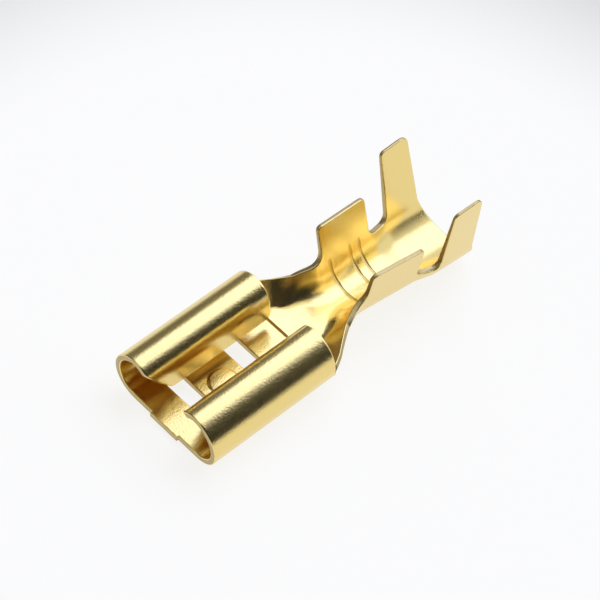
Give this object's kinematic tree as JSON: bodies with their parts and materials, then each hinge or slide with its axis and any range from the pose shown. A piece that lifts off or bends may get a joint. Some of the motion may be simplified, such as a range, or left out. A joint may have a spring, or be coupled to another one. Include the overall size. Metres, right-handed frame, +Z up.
{
  "type": "female spade terminal",
  "caption": "Bare brass female spade terminal, stamped and bent from sheet: curled receptacle for a flat blade, neck, open wire barrel and taller open insulation barrel to crimp.",
  "frame": {"origin": "middle of the bounding box's bottom, on the surface it lies on", "axes": "+X from the mouth to the wire end, +Y to the left seen from the mouth, +Z up"},
  "size_m": [0.02, 0.0076, 0.0067],
  "materials": {
    "brass": "bright, fine-grained rolled sheet"
  },
  "bodies": {
    "root": {"terminal": "brass"}
  },
  "joints": []
}
